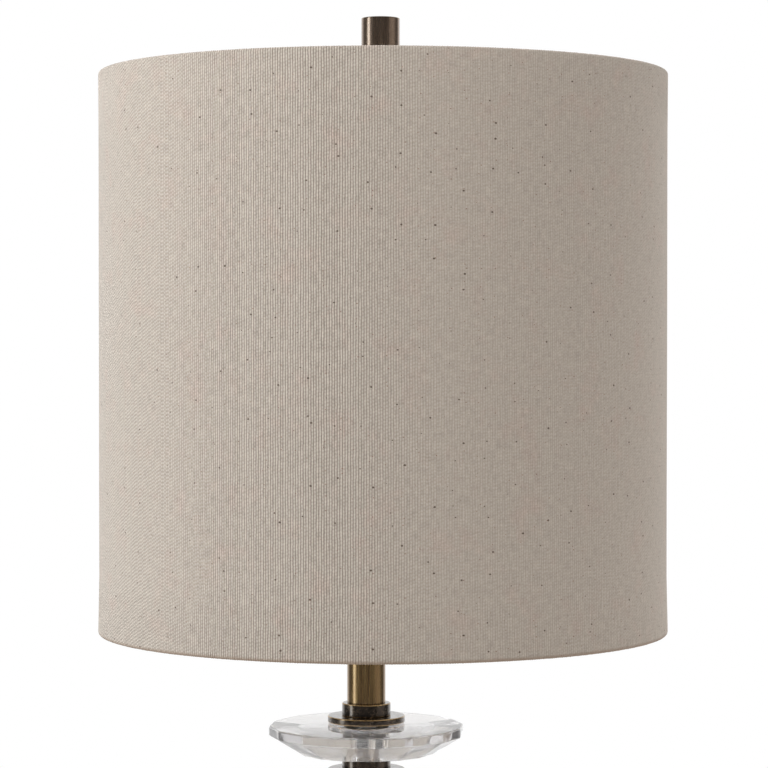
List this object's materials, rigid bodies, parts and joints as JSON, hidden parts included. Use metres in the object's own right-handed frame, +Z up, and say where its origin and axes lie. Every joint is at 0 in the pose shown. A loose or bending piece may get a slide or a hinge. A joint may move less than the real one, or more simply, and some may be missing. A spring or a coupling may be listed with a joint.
{
  "type": "candlestick lamp",
  "caption": "Candlestick table lamp: round weighted foot, slender brass column with cut-glass discs, harp, and a linen drum shade held by a cylindrical finial.",
  "frame": {"origin": "middle of the foot's flat underside, on the stem's axis", "axes": "+Z up along the stem; +X towards the side that the harp leans to; -Y faces the camera and the switch knob"},
  "size_m": [0.28, 0.28, 0.7802],
  "materials": {
    "antique_brass": "brushed, antique",
    "dark_bronze": "dark patina, worn edges",
    "cast_iron": "rough cast",
    "zinc_steel": "zinc plated",
    "plated_wire": "brass plated steel",
    "socket_brass": "stamped, satin",
    "fibre": "vulcanised fibre",
    "phenolic": "moulded, black",
    "bulb_glass": "inside frosted",
    "bulb_insulator": "black glass",
    "bulb_cap": "drawn",
    "crystal": "cut and polished",
    "gasket": "clear soft plastic",
    "felt": "pressed felt",
    "linen": "plain woven linen",
    "shade_liner": "white styrene"
  },
  "bodies": {
    "root": {"neck_tube": "antique_brass", "column_tube": "antique_brass", "neck_cap": "antique_brass", "base_cover": "antique_brass", "base_step": "antique_brass", "foot_flange": "dark_bronze", "foot_collar": "dark_bronze", "column_bottom_flange": "dark_bronze", "column_bottom_collar": "dark_bronze", "column_top_flange": "dark_bronze", "column_top_collar": "dark_bronze", "neck_flange": "dark_bronze", "neck_collar": "dark_bronze", "base_weight": "cast_iron", "threaded_rod": "zinc_steel", "foot_washer": "zinc_steel", "foot_locknut": "zinc_steel", "saddle_locknut": "zinc_steel", "column_plug_bottom": "zinc_steel", "column_plug_top": "zinc_steel", "harp_saddle": "plated_wire", "harp_loop": "plated_wire", "harp_stud": "plated_wire", "socket_cap": "socket_brass", "socket_shell": "socket_brass", "socket_screw_shell": "socket_brass", "socket_centre_contact": "socket_brass", "socket_terminal_screws": "socket_brass", "socket_liner": "fibre", "socket_core": "phenolic", "cord_bushing": "phenolic", "lower_crystal_disc": "crystal", "upper_crystal_disc": "crystal", "crystal_gaskets": "gasket", "base_felt_pad": "felt"},
    "shade": {"shade_fabric": "linen", "shade_liner": "shade_liner", "shade_top_ring": "plated_wire", "shade_bottom_ring": "plated_wire", "shade_fitter_ring": "plated_wire", "shade_spider_arm_1": "plated_wire", "shade_spider_arm_2": "plated_wire", "shade_spider_arm_3": "plated_wire"},
    "finial_insert": {"finial_insert": "socket_brass"},
    "finial": {"finial_body": "dark_bronze"},
    "bulb": {"bulb_glass": "bulb_glass", "bulb_screw_cap": "bulb_cap", "bulb_insulator": "bulb_insulator", "bulb_contact": "zinc_steel"},
    "switch": {"switch_shaft": "zinc_steel", "switch_knob": "phenolic"},
    "ferrule_left": {"harp_ferrule_left": "plated_wire"},
    "ferrule_right": {"harp_ferrule_right": "plated_wire"}
  },
  "joints": [
    {"name": "shade_turn", "type": "hinge", "parent": "root", "child": "shade", "pos_m": [0.0071, 0, 0.7398], "axis": [0, 0, 1], "continuous": true},
    {"name": "finial_lift", "type": "slide", "parent": "root", "child": "finial_insert", "axis": [0, 0, 1], "range_m": [0, 0.03]},
    {"name": "finial_turn", "type": "hinge", "parent": "finial_insert", "child": "finial", "pos_m": [0.0071, 0, 0.7417], "axis": [0, 0, 1], "continuous": true},
    {"name": "bulb_turn", "type": "hinge", "parent": "root", "child": "bulb", "pos_m": [0, 0, 0.5548], "axis": [0, 0, 1], "continuous": true},
    {"name": "switch_turn", "type": "hinge", "parent": "root", "child": "switch", "pos_m": [0, -0.02, 0.5475], "axis": [0, -1, 0], "continuous": true},
    {"name": "ferrule_left_slide", "type": "slide", "parent": "root", "child": "ferrule_left", "axis": [0, 0, 1], "range_m": [0, 0.018]},
    {"name": "ferrule_right_slide", "type": "slide", "parent": "root", "child": "ferrule_right", "axis": [0, 0, 1], "range_m": [0, 0.018]}
  ]
}
